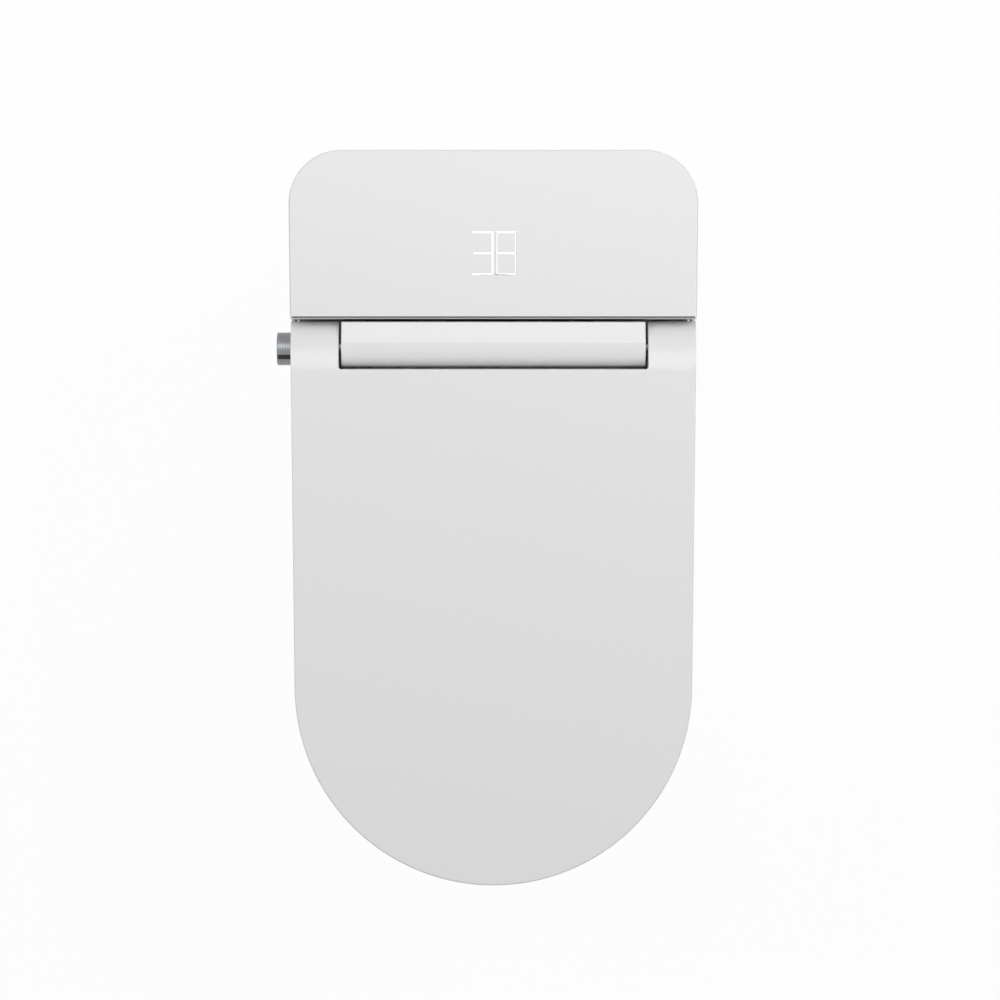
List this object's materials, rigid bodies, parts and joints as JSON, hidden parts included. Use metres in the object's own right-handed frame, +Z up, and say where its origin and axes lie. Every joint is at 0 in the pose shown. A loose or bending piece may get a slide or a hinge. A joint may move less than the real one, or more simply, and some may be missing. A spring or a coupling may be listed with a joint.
{
  "type": "smart toilet",
  "caption": "Floor-standing one-piece toilet with a D-shaped plan, heated seat and lid on soft-close hinges, spray wands, dryer, side knob and a lit temperature display.",
  "frame": {"origin": "on the floor, on the axis of the waste outlet", "axes": "+Z up, -Y towards the user's knees at the round front, +X away from the side knob; the knob stands out on -X"},
  "size_m": [0.396, 0.6899, 0.45],
  "materials": {
    "ceramic": "glossy white glaze",
    "casing": "gloss white moulding",
    "seat_plastic": "gloss white moulding",
    "steel": "zinc plated",
    "lit_digits": "lit white diffuser",
    "circuit_board": "green solder resist",
    "light_block": "translucent diffuser",
    "dark_plastic": "black moulding",
    "brass_body": "machined",
    "hose_rubber": "matt hose",
    "tank_plastic": "natural moulding",
    "charcoal": "open foam",
    "chip_black": "moulded packages",
    "painted_case": "powder coat",
    "knob_chrome": "polished",
    "foil": "thin foil",
    "bumper_rubber": "soft white",
    "bush_plastic": "acetal",
    "wand_plastic": "gloss moulding"
  },
  "bodies": {
    "base": {"pedestal_top": "ceramic", "pedestal_skirt": "ceramic", "pedestal_bowl": "ceramic", "pedestal_trapway": "ceramic", "waste_socket": "ceramic", "fixing_bosses": "ceramic", "chassis_plate": "steel", "chassis_bolts": "steel", "lower_housing": "casing", "top_cover": "casing", "display_segments": "lit_digits", "display_board": "circuit_board", "display_lamps": "light_block", "hinge_bar_cover": "casing", "hinge_bar_frame": "steel", "hinge_dampers": "dark_plastic", "spray_housing": "dark_plastic", "wand_motors": "steel", "water_inlet_valve": "brass_body", "inlet_hose": "hose_rubber", "heater_tank": "tank_plastic", "spray_hose": "hose_rubber", "flush_pump": "dark_plastic", "flush_valve": "dark_plastic", "flush_hose": "hose_rubber", "flush_jet": "hose_rubber", "dryer_housing": "dark_plastic", "dryer_duct": "dark_plastic", "deodoriser_housing": "dark_plastic", "charcoal_filter": "charcoal", "control_board": "circuit_board", "board_components": "chip_black", "board_posts": "dark_plastic", "power_supply": "painted_case", "cable_gland": "dark_plastic", "knob_encoder": "dark_plastic", "knob_bezel": "knob_chrome", "night_light": "light_block"},
    "seat": {"seat_top": "seat_plastic", "seat_bottom": "seat_plastic", "seat_heating_foil": "foil", "seat_bumpers": "bumper_rubber", "seat_damper_shaft": "steel", "seat_bushes": "bush_plastic"},
    "lid": {"lid_shell": "casing", "lid_liner": "casing", "lid_bumpers": "bumper_rubber", "lid_damper_shaft": "steel", "lid_bushes": "bush_plastic"},
    "knob_slider": {"knob_carriage": "bush_plastic"},
    "knob_rotor": {"knob_shaft": "steel", "knob_cap": "knob_chrome"},
    "rear_wand": {"rear_wand_tube": "wand_plastic", "rear_wand_tip": "wand_plastic"},
    "front_wand": {"front_wand_tube": "wand_plastic", "front_wand_tip": "wand_plastic"},
    "rear_pinion": {"rear_pinion": "bush_plastic"},
    "front_pinion": {"front_pinion": "bush_plastic"},
    "dryer_fan": {"dryer_fan": "dark_plastic"},
    "deodoriser_fan": {"deodoriser_fan": "dark_plastic"}
  },
  "joints": [
    {"name": "seat_lift", "type": "hinge", "parent": "base", "child": "seat", "pos_m": [0, 0.1006, 0.426], "axis": [-1, 0, 0], "range_deg": [0, 90]},
    {"name": "lid_opening", "type": "hinge", "parent": "seat", "child": "lid", "pos_m": [0, 0.1006, 0.426], "axis": [1, 0, 0], "range_deg": [-93, 0]},
    {"name": "knob_push", "type": "slide", "parent": "base", "child": "knob_slider", "axis": [1, 0, 0], "range_m": [0, 0.0025], "stiffness_N_per_m": 500},
    {"name": "knob_turn", "type": "hinge", "parent": "knob_slider", "child": "knob_rotor", "pos_m": [-0.19, 0.1006, 0.378], "axis": [1, 0, 0], "range_deg": [-30, 30], "stiffness_Nm_per_rad": 0.02},
    {"name": "rear_wand_slide", "type": "slide", "parent": "base", "child": "rear_wand", "axis": [0, -0.9511, -0.309], "range_m": [0, 0.1]},
    {"name": "front_wand_slide", "type": "slide", "parent": "base", "child": "front_wand", "axis": [0, -0.9511, -0.309], "range_m": [0, 0.1]},
    {"name": "rear_pinion_spin", "type": "hinge", "parent": "base", "child": "rear_pinion", "pos_m": [0, 0.11292, 0.37018], "axis": [1, 0, 0], "range_deg": [0, 765]},
    {"name": "front_pinion_spin", "type": "hinge", "parent": "base", "child": "front_pinion", "pos_m": [0, 0.11292, 0.37018], "axis": [1, 0, 0], "range_deg": [0, 765]},
    {"name": "dryer_fan_spin", "type": "hinge", "parent": "base", "child": "dryer_fan", "pos_m": [0.12, 0.215, 0.36], "axis": [0, 0, 1], "continuous": true},
    {"name": "deodoriser_fan_spin", "type": "hinge", "parent": "base", "child": "deodoriser_fan", "pos_m": [-0.097, 0.118, 0.36], "axis": [0, 0, 1], "continuous": true}
  ],
  "couplings": [
    {"joint": "rear_pinion_spin", "follows": "rear_wand_slide", "rad_per_m": 133.33},
    {"joint": "front_pinion_spin", "follows": "front_wand_slide", "rad_per_m": 133.33}
  ]
}
